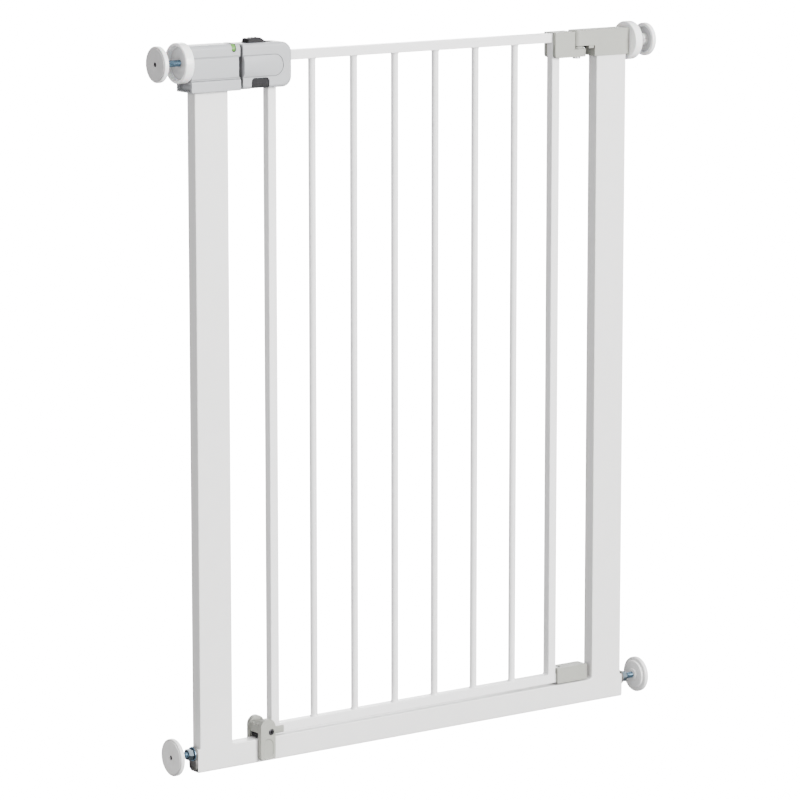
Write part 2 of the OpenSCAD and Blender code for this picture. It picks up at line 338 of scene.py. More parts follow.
COATING = dict(coat=0.15, grain=700, grain_bump=0.10, mottle=0.012, wave=60, wave_bump=0.03, corner_shade=0.25)
ENAMEL = material("white_powder_coat", (0.78, 0.775, 0.77), 0.36, **COATING)
DOOR = material("door_powder_coat", (0.86, 0.855, 0.86), 0.34, **COATING)
SILVER = material("silver_moulding", (0.36, 0.37, 0.385), 0.42, grain=1800, grain_bump=0.10, mottle=0.02, wave=40,
                  corner_shade=0.45, specular=0.35)
GREY = material("grey_moulding", (0.295, 0.30, 0.272), 0.45, grain=1500, grain_bump=0.12, mottle=0.025, wave=40,
                corner_shade=0.5, specular=0.35)
CHARCOAL = material("charcoal_moulding", (0.016, 0.016, 0.018), 0.6, grain=2200, grain_bump=0.25, mottle=0.10,
                    wave=90, wear=0.2, wear_colour=(0.05, 0.05, 0.055), specular=0.15)
# mid-grey moulding that stands for the shade in the gap at the handle's end
GAP_SHADE = material("gap_shade_moulding", (0.13, 0.132, 0.137), 0.55, grain=1800, grain_bump=0.12, mottle=0.05, wave=90,
                  specular=0.2)
PLUG = material("plug_moulding", (0.10, 0.097, 0.094), 0.5, grain=1500, grain_bump=0.15, mottle=0.08, wave=90,
                corner_shade=0.4)
WHITE = material("white_moulding", (0.96, 0.96, 0.96), 0.28, coat=0.3, grain=900, grain_bump=0.03, mottle=0.01,
                 wave=60, corner_shade=0.1, subsurface=0.08)
PADGREY = material("pale_grey_moulding", (0.80, 0.795, 0.79), 0.42, grain=1300, grain_bump=0.08, mottle=0.02,
                   wave=60, corner_shade=0.3)
ZINC = material("blue_zinc_plating", (0.20, 0.32, 0.43), 0.26, metallic=1.0, grain=700, grain_bump=0.08, mottle=0.10,
                rough_var=0.10, wave=180, corner_shade=0.5)
NUTZINC = material("dull_zinc_plating", (0.12, 0.15, 0.175), 0.52, metallic=1.0, grain=700, grain_bump=0.10,
                   mottle=0.10, rough_var=0.10, wave=180, corner_shade=0.5)
STEEL = material("bright_zinc_plating", (0.56, 0.57, 0.58), 0.30, metallic=1.0, grain=500, grain_bump=0.10,
                 mottle=0.06, rough_var=0.10, wave=120, brushed=(0.12, 1, 1))
BLACKSTEEL = material("black_oxide", (0.06, 0.06, 0.065), 0.38, metallic=0.8, grain=900, grain_bump=0.12,
                      mottle=0.12, wave=200)
SPRING = material("spring_wire", (0.45, 0.45, 0.46), 0.32, metallic=1.0, grain=900, grain_bump=0.08, mottle=0.08,
                  wave=200)
GREEN = material("indicator_green", (0.075, 0.235, 0.022), 0.45, grain=1500, grain_bump=0.05, mottle=0.05, wave=120,
                 subsurface=0.05)
DISC = material("pale_grey_disc", (0.58, 0.58, 0.585), 0.5, grain=1600, grain_bump=0.08, mottle=0.02, wave=60,
                corner_shade=0.3)
FACE = material("pad_facing", (0.62, 0.612, 0.615), 0.62, grain=2400, grain_bump=0.22, mottle=0.03, wave=120,
                corner_shade=0.2)
LOWFACE = material("lower_pad_facing", (0.86, 0.85, 0.84), 0.6, grain=2400, grain_bump=0.2, mottle=0.03, wave=120,
                   corner_shade=0.2)


# ---------------------------------------------------------------- fixed frame
def gate_frame():
    """The two posts and the bottom rail, welded and coated as one, open at the rail's ends."""
    f = 4.0  # weld radius between rail and post
    outline = [(-RAIL_END, 0), (RAIL_END, 0), (RAIL_END, RAIL_TOP), (POST_OUT, RAIL_TOP)]
    outline += [(POST_OUT, 860), (POST_IN, 860)]
    outline += arc(POST_IN - f, RAIL_TOP + f, f, 0, -90) + arc(f - POST_IN, RAIL_TOP + f, f, 270, 180)
    outline += [(-POST_IN, 862), (-POST_OUT, 862), (-POST_OUT, RAIL_TOP), (-RAIL_END, RAIL_TOP)]
    replaced = ["bottom_rail", "left_post", "right_post"]
    obj = new_object("gate_frame", prism("Y", -9, 9, outline), "frame", replaced)
    for s in (-1, 1):
        cut(obj, prism("X", s * 300, s * 345, rounded_rect(15, 27, 1.4, 4, 0, 15)))
    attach(obj, "frame")
    finish(obj, ENAMEL, 40, 2.0, 4, 40)


def rail_plugs():
    """Lobed flange on each end of the rail, with a stub inside the rail and a washer round the spindle."""
    lobe = [(-7.6, 18.2), (-6.9, 16.6), (-8.1, 14.4), (-8.2, 10), (-7.6, 5.4), (-5.6, 3.4), (-2.6, 2.6)]
    stub = rounded_rect(14.4, 26.2, 1.2, 4, 0, 15)
    washer = [(4.15, 341.45), (8.7, 341.45), (9.0, 341.7), (9.0, 342.4), (8.7, 342.7), (4.4, 342.7), (4.15, 342.5),
              (4.15, 341.45)]
    for s, side in ((-1, "left"), (1, "right")):
        pts = arc(0, LOW_Z, 9.4, -10, 190, 20) + lobe + mirrored(lobe)
        if s > 0:  # the right one is narrower below
            pts = [(y * 0.55, z) if z < 14.5 else (y, z) for y, z in pts]
        flange = prism("X", s * 338.7, s * 341.4, pts)
        obj = new_object("rail_plug_" + side, flange, "frame", ["rail_plugs"])
        cut(obj, block(s * 340.2, s * 343, -5.2, 5.2, 5.2, 12.0))
        finish(obj, PLUG, 40, 0.6, 3, 30)
        inside = prism("X", s * 324.0, s * 338.9, stub)
        paint(new_object("rail_plug_stub_" + side, inside, "frame"), PLUG)
        ring = lathe("X", washer, 0, LOW_Z, 48, s)
        paint(new_object("spindle_washer_" + side, ring, "frame", ["spindle_washers"]), ZINC)


def threaded(corner, sign, z, x1):
    """A spindle with a real helical M8 thread and a chamfered inner end."""
    x0, thread0 = 312, 318
    steps, pitch, per_turn = 36, 1.25, 8
    crest, depth, run_in = 3.97, 0.62, 1.2
    n = int((x1 - thread0) / pitch * per_turn)
    rings = [[(3.2, x0)] * steps, [(3.6, x0 + 0.5)] * steps]
    for i in range(n + 1):
        a = thread0 + (x1 - thread0) * i / n
        ring = []
        for k in range(steps):
            phase = (a / pitch - sign * k / steps) % 1.0
            tri = 1 - abs(2 * phase - 1)
            groove = depth * min(max((tri - 0.12) / 0.76, 0), 1)
            ring.append((crest - groove * min(1.0, (a - thread0) / run_in), a))
        rings.append(ring)
    bm = bmesh.new()
    tip = bm.verts.new((x0 * sign, 0, z))
    turns = [2 * math.pi * k / steps for k in range(steps)]
    loops = [
        [bm.verts.new((a * sign, r * math.cos(t), z + r * math.sin(t))) for t, (r, a) in zip(turns, ring)]
        for ring in rings
    ]
    for k in range(steps):
        bm.faces.new((tip, loops[0][(k + 1) % steps], loops[0][k]))
    for a, b in zip(loops, loops[1:]):
        for k in range(steps):
            j = (k + 1) % steps
            bm.faces.new((a[k], a[j], b[j], b[k]))
    bm.faces.new(loops[-1])
    name = "spindle_" + corner
    paint(new_object(name, bm, name, [name], angle=50), ZINC)


def hex_nut(name, sign):
    """An M8 nut with chamfered corners and a threaded mouth."""
    x0, x1, flats, chamfer = 343.3, 349.8, 13.0, 1.4
    hexagon = arc(0, LOW_Z, flats / math.sqrt(3), 0, 300, 5)
    obj = new_object(name, prism("X", sign * x0, sign * x1, hexagon), name, [name])
    for x, deep in ((x0 - 0.01, x0 + chamfer), (x1 + 0.01, x1 - chamfer)):
        cut(obj, lathe("X", [(6.7, x), (9.5, x), (9.5, deep), (6.7, x)], 0, LOW_Z, 64, sign))
    bore = [(0, x0 - 1), (4.9, x0 - 1), (4.9, x0), (4.12, x0 + 0.8)]
    bore += [(4.12, x1 - 0.8), (4.9, x1), (4.9, x1 + 1), (0, x1 + 1)]
    cut(obj, lathe("X", bore, 0, LOW_Z, 48, sign))
    finish(obj, NUTZINC, 35, 0.15, 2, 30)


def hand_wheel(name, sign, x0, z):
    """Cup-shaped wheel: rolled rim, thin lip, and a deep recess closed by a grey disc."""
    prof = [(4.08, x0), (12, x0), (22.8, x0)] + arc(23.6, x0 + 1.4, 1.4, -90, 0, 5)
    prof += [(25.0, x0 + 4.0), (24.9, x0 + 9.2)] + arc(23.2, x0 + 10.3, 1.7, 10, 90, 6)
    prof += arc(22.3, x0 + 11.1, 0.9, 90, 180, 4) + [(21.2, x0 + 9.0), (21.0, x0 + 6.4), (20.8, x0 + 6.0)]
    prof += [(20.4, x0 + 5.8), (4.9, x0 + 5.8), (4.08, x0 + 5.5), (4.08, x0)]
    wheel = lathe("X", prof, 0, z, 96, sign)
    finish(new_object(name, wheel, name, [name]), WHITE, 40)
    prof = [(4.3, x0 + 5.5), (20.3, x0 + 5.5), (20.3, x0 + 6.0), (19.9, x0 + 6.3), (5.0, x0 + 6.3), (4.3, x0 + 6.1)]
    disc = lathe("X", prof + prof[:1], 0, z, 96, sign)
    finish(new_object(name + "_disc", disc, name), DISC, 40)


def wall_pad(corner, sign, z, d, p, t, mat, face_mat):
    """Round foot with a hub and a thin facing over a sunk pin; the upper ones are cupped, the lower ones stepped."""
    body, name = "spindle_" + corner, "pad_" + corner
    upper = "upper" in corner
    r, q = d / 2, p - t
    prof = [(4.0, p - 10.9), (6.8, p - 10.9)] + arc(6.8, p - 10.2, 0.7, -90, 0, 4)
    if upper:
        prof += [(7.5, q + 2.6), (7.9, q + 3.0), (r - 5.3, q + 3.0), (r - 4.9, q + 2.6), (r - 4.5, q + 0.8)]
        prof += [(r - 4.1, q + 0.2), (r - 3.4, q)] + arc(r - 1.5, q + 1.5, 1.5, -90, 0, 5)
    else:
        prof += [(7.5, q - 0.5), (7.8, q - 0.1), (8.4, q), (r - 6.0, q)] + arc(r - 6.0, q + 1.0, 1.0, -90, 0, 4)
        prof += [(r - 4.9, q + 2.2), (r - 4.5, q + 2.6)] + arc(r - 1.5, q + 4.1, 1.5, -90, 0, 5)
    prof += arc(r - 1.4, p - 2.2, 1.4, 0, 90, 6)
    prof += [(r - 1.9, p - 1.1), (r - 2.1, p - 1.6), (r - 2.1, p - 3.0), (3.0, p - 3.0), (0, p - 3.0)]
    pad = lathe("X", prof, 0, z, 96, sign)
    finish(new_object(name, pad, body, [name]), mat, 40)
    rf = r - 2.15
    face = [(0, p - 2.9), (rf, p - 2.9), (rf, p - 0.6)] + arc(rf - 0.5, p - 0.5, 0.5, 0, 90, 4)
    face += [(4.6, p), (4.2, p - 0.15), (3.8, p - 0.05), (3.2, p - 0.1), (2.95, p - 0.4)]
    face += [(2.95, p - 2.4), (0, p - 2.4)]
    floor = [(8.0, q + 3.0), (8.0, q + 2.6), (r - 5.3, q + 2.6), (r - 5.1, q + 2.9), (8.0, q + 3.0)]
    pin = [(0, p - 2.3), (2.9, p - 2.3), (2.9, p - 0.9), (2.6, p - 0.7), (0, p - 0.6)]
    parts = [("pad_face_", face, "pad_rubber", face_mat, ["pad_face_" + corner])]
    if upper:
        parts.append(("pad_floor_", floor, "pad_rubber", DISC, []))
    parts.append(("pad_pin_", pin, "charcoal_plastic", CHARCOAL, []))
    for part, prof, slot, part_mat, replaced in parts:
        bm = lathe("X", prof, 0, z, 96, sign)
        finish(new_object(part + corner, bm, body, replaced), part_mat, 40)


def housing_section(name, replaced, pts, edge):
    """A moulding of the latch housing: one cross-section along X with softened ends."""
    ys, zs = [y for y, _ in pts], [z for _, z in pts]
    cy, cz = (min(ys) + max(ys)) / 2, (min(zs) + max(zs)) / 2
    w, h = max(ys) - min(ys), max(zs) - min(zs)
    ends = round_end(-344.5, -273.0, edge, 3)
    bm = loft("X", [(a, inset_points(pts, d, cy, cz, w, h)) for a, d in ends])
    return new_object(name, bm, "frame", replaced)


def slot_shape(r, z0):
    """The indicator slot: round at the bottom and open at the top."""
    pts = [(SLOT_X + r, 912)] + arc(SLOT_X, z0 + r, r, 0, -180, 12) + [(SLOT_X - r, 912)]
    return prism("Y", -30, 30, pts)


def latch_housing():
    """Fixed half of the latch on the left post: crowned top, parting grooves, raised band and lower collar."""
    half = [(15.2, 862.15), (15.5, 862.4), (15.5, 863.6), (15.8, 863.9), (16.4, 864.1), (16.7, 864.6), (16.8, 866.0)]
    half += [(17.0, 872), (17.0, 881), (16.8, 887.0), (16.7, 888.4), (16.4, 888.9), (15.7, 889.1), (15.4, 889.5)]
    half += [(15.4, 889.9), (15.7, 890.3), (16.0, 890.8)] + arc(10.2, 899.0, 5.8, 5, 90, 9) + [(5.0, 904.92)]
    pts = half + [(0.0, 905.0)] + mirrored(half)
    obj = housing_section("latch_housing", ["latch_housing_front", "latch_housing_back"], pts, 0.7)
    cut(obj, block(-276.0, -270, -30, 30, 864.0, 889.2))
    cut(obj, slot_shape(3.2, 894.9))
    finish(obj, SILVER, 25, 0.25, 2, 50)
    # dark sheet just under the surface: painted shade seen through the indicator slot
    slot_shade_outline = [(15.3, 895.0)] + [(y * 0.985, z - 0.2) for y, z in half if z - 0.2 > 895.2]
    slot_shade_outline += [(0.0, 904.8)] + mirrored(slot_shade_outline)
    slot_shade_shell = prism("X", SLOT_X - 3.2, SLOT_X + 3.2, slot_shade_outline)
    inner = new_object("indicator_slot_shade", slot_shade_shell, "frame")
    cut(inner, slot_shape(2.75, 895.5))
    finish(inner, CHARCOAL)
    # collar round the post's top
    prof = rounded_rect(34.4, 13.9, [2.2, 2.2, 1.0, 1.0], 5, 0, 855.05)
    collar = housing_section("post_collar", ["post_collar"], prof, 0.6)
    cut(collar, prism("Z", 846, 859, rounded_rect(48.3, 18.3, 2, 4, -311, 0)))
    cut(collar, prism("X", -347, -339.5, rounded_rect(28.5, 8.4, 1.2, 4, 0, 854.2)))
    finish(collar, SILVER, 25, 0.25, 2, 50)


def indicator():
    """Green flag with a round front end that follows the crown, sliding in the slot."""
    rings = []
    for y in (-15.7, -15.5, -15.0, -14.0, -12.8, -11.4, -10.2, -8.6):
        top = 899.0 + math.sqrt(max(5.45 ** 2 - max(-y - 10.2, 0.0) ** 2, 0.0))
        inset = 0.25 * (y < -15.6)
        r, low = 2.55 - inset, 896.0 + inset
        rings.append((y, [(SLOT_X + r, top)] + arc(SLOT_X, low + r, r, 0, -180, 12) + [(SLOT_X - r, top)]))
    flag = new_object("indicator_flag", loft("Y", rings), "indicator", ["indicator_flag"])
    finish(flag, GREEN, 40)
    bar = prism("Y", -9, 5, rounded_rect(4.0, 4.6, 0.4, 3, SLOT_X, 898.2))
    finish(new_object("indicator_bar", bar, "indicator"), CHARCOAL, 40)


def screw_head(name, body, replaced, axis, at, u, v, r, depth, out=1, mat=STEEL, hexr=0.0):
    """A pan-head screw with a rounded rim and a cross or hexagon socket; out is the way its head faces."""
    prof = [(0, at - depth), (r, at - depth), (r, at - 0.5)] + arc(r - 0.5, at - 0.5, 0.5, 0, 90, 4)
    prof += [(r * 0.6, at + 0.12), (0, at + 0.18)]
    head = lathe(axis, [(rr, a * out) for rr, a in prof], u, v, 40)
    obj = new_object(name, head, body, [replaced])
    if hexr:
        sockets = [(1.8, arc(u, v, hexr, 0, 300, 5))]
    else:
        sockets = []
        for w, h in ((r * 1.15, r * 0.26), (r * 0.26, r * 1.15)):
            x0, x1, y0, y1 = u - w / 2, u + w / 2, v - h / 2, v + h / 2
            sockets.append((1.0, [(x0, y0), (x1, y0), (x1, y1), (x0, y1)]))
    for deep, pts in sockets:
        cut(obj, prism(axis, out * (at - deep), out * (at + 1), pts))
    finish(obj, mat)


# ---------------------------------------------------------------- hinge, catch and shoe
def hole(axis, r, a0, a1, u, v, steps):
    """A round hole."""
    return lathe(axis, [(0, a0), (r, a0), (r, a1), (0, a1)], u, v, steps)


def pin_bore(z0, z1):
    """The bore of the upper hinge pin."""
    return prism("Z", z0, z1, rounded_rect(PIN_BORE, PIN_BORE, 3.07, 8, HINGE_X, 0))


def hinge_bracket():
    """Capped bracket on the right post, with a round-ended overhang and a stepped underside."""
    plan = [(RAIL_END, -11), (RAIL_END, 11)] + arc(HINGE_X, 0, 11, 90, 270, 16)
    obj = new_object("hinge_bracket", prism("Z", 873.9, 894.0, plan), "frame", ["hinge_bracket"])
    f = 2.0  # radius under the overhang
    side = [(282, 859.9), (RAIL_END, 859.9), (RAIL_END, 880), (282 - f, 880), (282 - f, 873.9)]
    side += arc(282 - f, 873.9 - f, f, 60, 0, 2)
    join(obj, prism("Y", -11, 11, side))
    cut(obj, pin_bore(870, 891))
    cut(obj, hole("X", 4.3, 330, 345, 0, 876.5, 40))
    cut(obj, hole("Z", 10.1, 872, 877.6, HINGE_X, 0, 48))
    finish(obj, GREY, 30, 1.6, 4, 40)
    lip = soft_bar(272.8, 281, 20.5, 4.6, 0.6, 0.4, 872.4)
    finish(new_object("hinge_bracket_lip", lip, "frame"), GREY, 30)


def hinge_knuckle():
    """Door half of the upper hinge: sleeve over the rail's end, round tongue under the overhang and a low boss."""
    side = [(216.2, 893.0), (248.0, 893.0), (248.0, 860.0), (221.0, 860.0)] + arc(221.0, 864.8, 4.8, 255, 180, 5)
    obj = new_object("hinge_knuckle", prism("Y", -12, 12, side), "door", ["hinge_knuckle"])
    join(obj, prism("Z", 860.0, 870.0, [(244, -12)] + arc(HINGE_X, 0, 12, -90, 90, 16) + [(244, 12)]))
    cut(obj, pin_bore(855, 875))
    cut(obj, block(210, 240, -PIN_BORE, PIN_BORE, 879.8, 892.15))
    cut(obj, block(210, 228.15, -PIN_BORE, PIN_BORE, 850, 880.2))
    finish(obj, GREY, 30, 1.2, 4, 40)
    prof = [(3.1, 869.8), (9.6, 869.8), (9.6, 873.0), (9.3, 873.3), (3.4, 873.3), (3.1, 873.0), (3.1, 869.8)]
    boss = lathe("Z", prof, HINGE_X, 0, 48)
    finish(new_object("hinge_boss", boss, "door"), GREY, 40)


def lower_shoe():
    """Saddle over the end of the door's bottom rail, with the lower pivot bore."""
    plan = [(228.4, -10)] + arc(273, 0, 10, -90, 90, 16) + [(228.4, 10)]
    obj = new_object("lower_shoe", prism("Z", 32.0, 52.6, plan), "door", ["lower_shoe"])
    roll = [(270, 54), (288, 54), (288, 40), (283.3, 40)] + arc(275.3, 44.9, 8.0, 0, 90, 6)
    cut(obj, prism("Y", -14, 14, roll))
    cut(obj, block(220, 245, -6.2, 6.2, 30, 45.2))
    cut(obj, block(215, 228.2, -6.2, 6.2, 44, 58))
    cut(obj, hole("Z", 3.08, 30, 50, HINGE_X, 0, 32))
    cut(obj, lathe("Z", [(0, 48), (3.3, 48), (3.3, 51.2), (4.0, 51.9), (4.0, 56), (0, 56)], 235, 0, 32))
    finish(obj, GREY, 30, 1.0, 3, 40)


def bottom_catch():
    """Saddle clipped over the bottom rail: arched cheeks, bridge with two rolls, oval recess and screw boss."""
    outline = [(-249, 5.4), (-247.6, 4.0), (-228.4, 4.0), (-227, 5.4), (-227, 44.6)]
    outline += arc(-238, 44.6, 11, 10, 170, 16) + [(-249, 44.6)]
    oval = rounded_rect(16.4, 25, [8.1, 8.1, 6.0, 6.0], 8, -238, 17.4)
    small = inset_points(oval, 1.1, -238, 17.4, 16.4, 25)
    screw = [(0, -20), (4.6, -20), (4.6, -16.2), (4.1, -15.6), (4.1, -12.6), (0, -12.6)]
    for s, name in ((-1, "bottom_catch"), (1, "bottom_catch_back")):
        cheek = prism("Y", s * 9.1, s * 16.2, outline)
        obj = new_object(name, cheek, "frame", ["bottom_catch"])
        if s < 0:
            cut(obj, lathe("Y", screw, -233, 38, 48))
        recess = [(s * 17.5, oval), (s * 16.2, oval), (s * 15.2, small)]
        cut(obj, loft("Y", recess[::-s]))
        finish(obj, GREY, 30, 1.1, 4, 40)
    prof = [(-10, 37.8), (-9.3, 37.2), (9.3, 37.2), (10, 37.8), (10.5, 45.4)] + arc(5.0, 45.0, 4.6, 10, 150, 7)
    prof += [(0, 46.6)] + arc(-5.0, 45.0, 4.6, 30, 170, 7) + [(-10.5, 45.4)]
    bridge = new_object("bottom_catch_bridge", prism("X", -248.4, -227.4, prof), "frame")
    finish(bridge, GREY, 30, 0.7, 3, 50)
    insert = soft_bar(-246.5, -229, 16.5, 5.2, 0.8, 0.5, 32.9)
    finish(new_object("bottom_catch_insert", insert, "frame"), CHARCOAL, 30)


# ---------------------------------------------------------------- door
def door_frame():
    """Stiles and rails welded into one frame, with small weld radii in the corners."""
    f = 2.2  # weld radius
    inner = []
    for sx, sz, a0 in ((1, 1, 0), (-1, 1, 90), (-1, -1, 180), (1, -1, 270)):
        inner += arc(1.0 + sx * (215 - f), DOOR_Z + sz * (417.5 - f), f, a0, a0 + 90, 4)
    outer = prism("Y", -TUBE / 2, TUBE / 2, rounded_rect(454, 859, 1.2, 3, 1.0, DOOR_Z))
    replaced = ["door_stile_left", "door_stile_right", "door_top_rail", "door_bottom_rail"]
    obj = new_object("door_frame", outer, "door", replaced)
    cut(obj, prism("Y", -8, 8, inner))
    finish(obj, DOOR, 40, 1.5, 4, 40)
    for x1, z, name in ((239.5, 886, "top_rail_end"), (244.6, 39, "bottom_rail_end")):
        end = soft_bar(227.0, x1, TUBE, TUBE, 1.5, 0.6, z)
        finish(new_object(name, end, "door"), DOOR, 40)


def door_bars():
    """Six round bars with a weld bead at each end."""
    prof = [(0, 44.5), (5.6, 44.6), (5.5, 45.1), (5.0, 45.7), (4.65, 46.6), (4.5, 47.8)]
    prof += [(4.5, z) for z in (200, 462, 700)]
    prof += [(4.5, 877.2), (4.65, 878.4), (5.0, 879.3), (5.5, 879.9), (5.6, 880.4), (0, 880.5)]
    for i in range(1, 7):
        bm = lathe("Z", prof, -220 + i * 442 / 7, 0, 40)
        finish(new_object("door_bar_%d" % i, bm, "door", ["door_bars"]), DOOR, 50)


def door_end_block():
    """Moulded corner piece under the latch end of the door."""
    bm = soft_bar(-225.5, -208, 15, 9.6, 1.6, 0.9, 37.4)
    finish(new_object("door_end_block", bm, "door", ["door_end_block"]), GREY, 40)


def anchored_ring(pts, d, x_left, cz, w, h):
    """Shrinks an outline by d on three sides and keeps its left edge in place."""
    kx, kz = (w - d) / w, (h - 2 * d) / h
    return [(x_left + (x - x_left) * kx, cz + (z - cz) * kz) for x, z in pts]


def handle():
    """Door half of the latch: square end against the housing, big-radius outer end, softened all round."""
    w, h, left = 73.0, 55.5, -270
    out = rounded_rect(w, h, [13.5, 2.4, 2.0, 12.5], 10, -233.5, HANDLE_Z)
    ends = [(y, anchored_ring(out, d * 0.9, left, HANDLE_Z, w, h)) for y, d in round_end(-17, 17, 5.0, 8)]
    seam = [(-0.25, out), (0.0, anchored_ring(out, 0.35, left, HANDLE_Z, w, h)), (0.25, out)]
    replaced = ["handle_front", "handle_back", "handle_panel"]
    obj = new_object("latch_handle", loft("Y", ends[:9] + seam + ends[9:]), "door", replaced)
    # hollow inside, so that the moving parts have their room
    cut(obj, prism("X", -267.4, -212, rounded_rect(27, 49.5, 4.5, 5, 0, HANDLE_Z)))
    # thumb slot
    cut(obj, prism("Z", 897, 908, rounded_rect(38.6, 16.2, 2.2, 5, -238.3, 0)))
    # trigger opening with round shoulders
    opening = [(-231.4, 845), (-231.4, 856.9)] + arc(-236.4, 856.9, 5.0, 15, 90, 5)
    opening += arc(-252.6, 856.9, 5.0, 90, 180, 6) + [(-257.6, 845)]
    cut(obj, prism("Y", -20, -4, opening))
    # bolt slot, stile and rail entries
    bolt_slot = (-272, -262, -6.5, 6.5, 869.5, 882.5)
    cut(obj, block(*bolt_slot))
    cut(obj, block(-226.3, -213.7, -6.3, 6.3, 846, 852))
    cut(obj, block(-214, -195, -6.3, 6.3, 879.7, 892.3))
    # groove round the badge panel, on both faces
    r = PANEL_R + 1.2
    groove = [(-272, PANEL_Z - r)] + arc(PANEL_X, PANEL_Z, r, -90, 90, 18) + [(-272, PANEL_Z + r)]
    for y0, y1 in ((-20, -16.0), (16.0, 20)):
        cut(obj, prism("Y", y0, y1, groove))
    finish(obj, SILVER, 28, 0.35, 3, 50)
    # dark sheet on the end that meets the housing: painted shade for the gap between handle and housing
    full = rounded_rect(33.0, h, 5.0, 6, 0, HANDLE_Z)
    pts = [(y * 0.93, HANDLE_Z + (z - HANDLE_Z) * 0.955) for y, z in full]
    gap_sheet = new_object("handle_gap_shade", prism("X", -270.5, -269.7, pts), "door")
    cut(gap_sheet, block(*bolt_slot))
    finish(gap_sheet, GAP_SHADE, 30)


def handle_panel():
    """Raised badge panel on both faces, arched at one end and swelling towards the housing."""
    nu, nv, arch_from = 40, 16, 0.7
    for s, side in ((-1, "front"), (1, "back")):
        bm = bmesh.new()
        grid = []
        for i in range(nu + 1):
            t = i / nu
            if t < arch_from:
                x = -269.6 + 45.6 * t / arch_from
                hh = PANEL_R
            else:
                a = (t - arch_from) / 0.3 * math.pi / 2
                x = PANEL_X + PANEL_R * math.sin(a)
                hh = max(PANEL_R * math.cos(a), 0.02)
            crown = 2.3 * max(0.0, 1 - (x + 269.6) / 52.0) ** 1.3 + 0.35
            col = []
            for j in range(nv + 1):
                v = -1 + 2 * j / nv
                y = 17.55 + crown * (1 - abs(v) ** 2.4) * (hh / PANEL_R) ** 0.5
                col.append(bm.verts.new((x, s * min(y, 19.9), PANEL_Z + hh * v)))
            grid.append(col)
        for a, b in zip(grid, grid[1:]):
            for j in range(nv):
                bm.faces.new((a[j], a[j + 1], b[j + 1], b[j]))
        edge = [c[0] for c in grid] + grid[-1][1:-1] + [c[-1] for c in reversed(grid)] + grid[0][-2:0:-1]
        back = [bm.verts.new((v.co.x, s * 15.2, v.co.z)) for v in edge]
        for k in range(len(edge)):
            m = (k + 1) % len(edge)
            bm.faces.new((edge[k], edge[m], back[m], back[k]))
        bm.faces.new(back)
        finish(new_object("handle_panel_" + side, bm, "door"), SILVER, 32, 0.3, 3, 45)


def thumb_button():
    """Sloped thumb slide with three grip ridges, a foot inside the slot and a leg to the spring."""
    top = [(-256.8, 899.0), (-228.1, 899.0), (-228.1, 903.6), (-229.0, 905.0), (-233.4, 907.4)]
    for k in range(3):
        x = -236.4 - k * 4.4
        top += [(x + 0.6, 909.25 - 0.25 * (k == 0)), (x, 909.7), (x - 0.7, 909.9), (x - 1.6, 909.9)]
        top += [(x - 2.2, 909.5), (x - 2.7, 909.1), (x - 3.2, 909.1)]
    top += [(-253.6, 909.4), (-255.2, 908.6), (-256.8, 904.2)]
    sides = [(-7.5, 1.0), (-7.3, 0.45), (-6.8, 0.1), (-6.3, 0.0), (6.3, 0.0), (6.8, 0.1), (7.3, 0.45), (7.5, 1.0)]
    bm = loft("Y", [(y, inset_points(top, d, -242.45, 904.4, 28.7, 10.9)) for y, d in sides])
    obj = new_object("thumb_button", bm, "thumb_button", ["thumb_button"])
    finish(obj, CHARCOAL, 30, 0.3, 3, 35)
    bm = prism("Z", 898.8, 900.9, rounded_rect(28, 18.6, 1, 3, -240.3, 0))
    foot = new_object("thumb_button_foot", bm, "thumb_button")
    finish(foot, CHARCOAL, 30, 0.3, 2, 35)
    bm = prism("Z", 885.6, 899.6, rounded_rect(5.8, 9.8, 0.8, 3, -247, 0))
    finish(new_object("thumb_button_leg", bm, "thumb_button"), CHARCOAL, 30)


def trigger():
    """Press pad with round shoulders, a softened face and fine grip lines."""
    w, h, xc, zc, edge = 25.2, 12.2, -244.5, 855.3, 1.3
    out = rounded_rect(w, h, [4.6, 4.6, 0.8, 0.8], 8, xc, zc)
    rings = [(-9.2, out), (-15.0, out)]
    for i in range(1, 7):
        t = math.pi / 2 * i / 6
        rings.append((-15.0 - edge * math.sin(t), inset_points(out, edge * (1 - math.cos(t)), xc, zc, w, h)))
    obj = new_object("trigger", loft("Y", rings), "trigger", ["trigger"])
    for k in range(4):
        cut(obj, prism("Y", -17, -15.95, rounded_rect(17.5, 0.8, 0.35, 3, xc, 851.6 + 2.4 * k)))
    finish(obj, CHARCOAL, 30)
    flange = prism("Y", -13.3, -11.1, rounded_rect(28, 6.3, 1, 3, xc, 860.2))
    finish(new_object("trigger_flange", flange, "trigger"), CHARCOAL, 30)


def spring(name, axis, a0, a1, u, v, d, wire, turns):
    """A compression spring with closed ends, coiled from a0 to a1 along the axis."""
    curve = bpy.data.curves.new(name, "CURVE")
    curve.dimensions = "3D"
    curve.bevel_depth = wire / 2 * MM
    curve.bevel_resolution = 3
    line = curve.splines.new("POLY")
    n = turns * 24
    line.points.add(n)
    r, lo, hi = (d - wire) / 2, a0 + wire / 2, a1 - wire / 2
    for i in range(n + 1):
        t = i / n
        s = min(max((t - 0.06) / 0.88, 0), 1)
        turn = 2 * math.pi * turns * t
        p = place(axis, lo + (hi - lo) * s, u + r * math.cos(turn), v + r * math.sin(turn))
        line.points[i].co = (p[0] * MM, p[1] * MM, p[2] * MM, 1)
    obj = bpy.data.objects.new(name, curve)
    bpy.context.scene.collection.objects.link(obj)
    bpy.context.view_layer.update()
    dg = bpy.context.evaluated_depsgraph_get()
    mesh = bpy.data.meshes.new_from_object(obj.evaluated_get(dg))
    bpy.data.objects.remove(obj)
    piece = bpy.data.objects.new(name, mesh)
    bpy.context.scene.collection.objects.link(piece)
    shade(piece, 50)
    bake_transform(piece)
    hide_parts(name)
    paint(piece, SPRING)


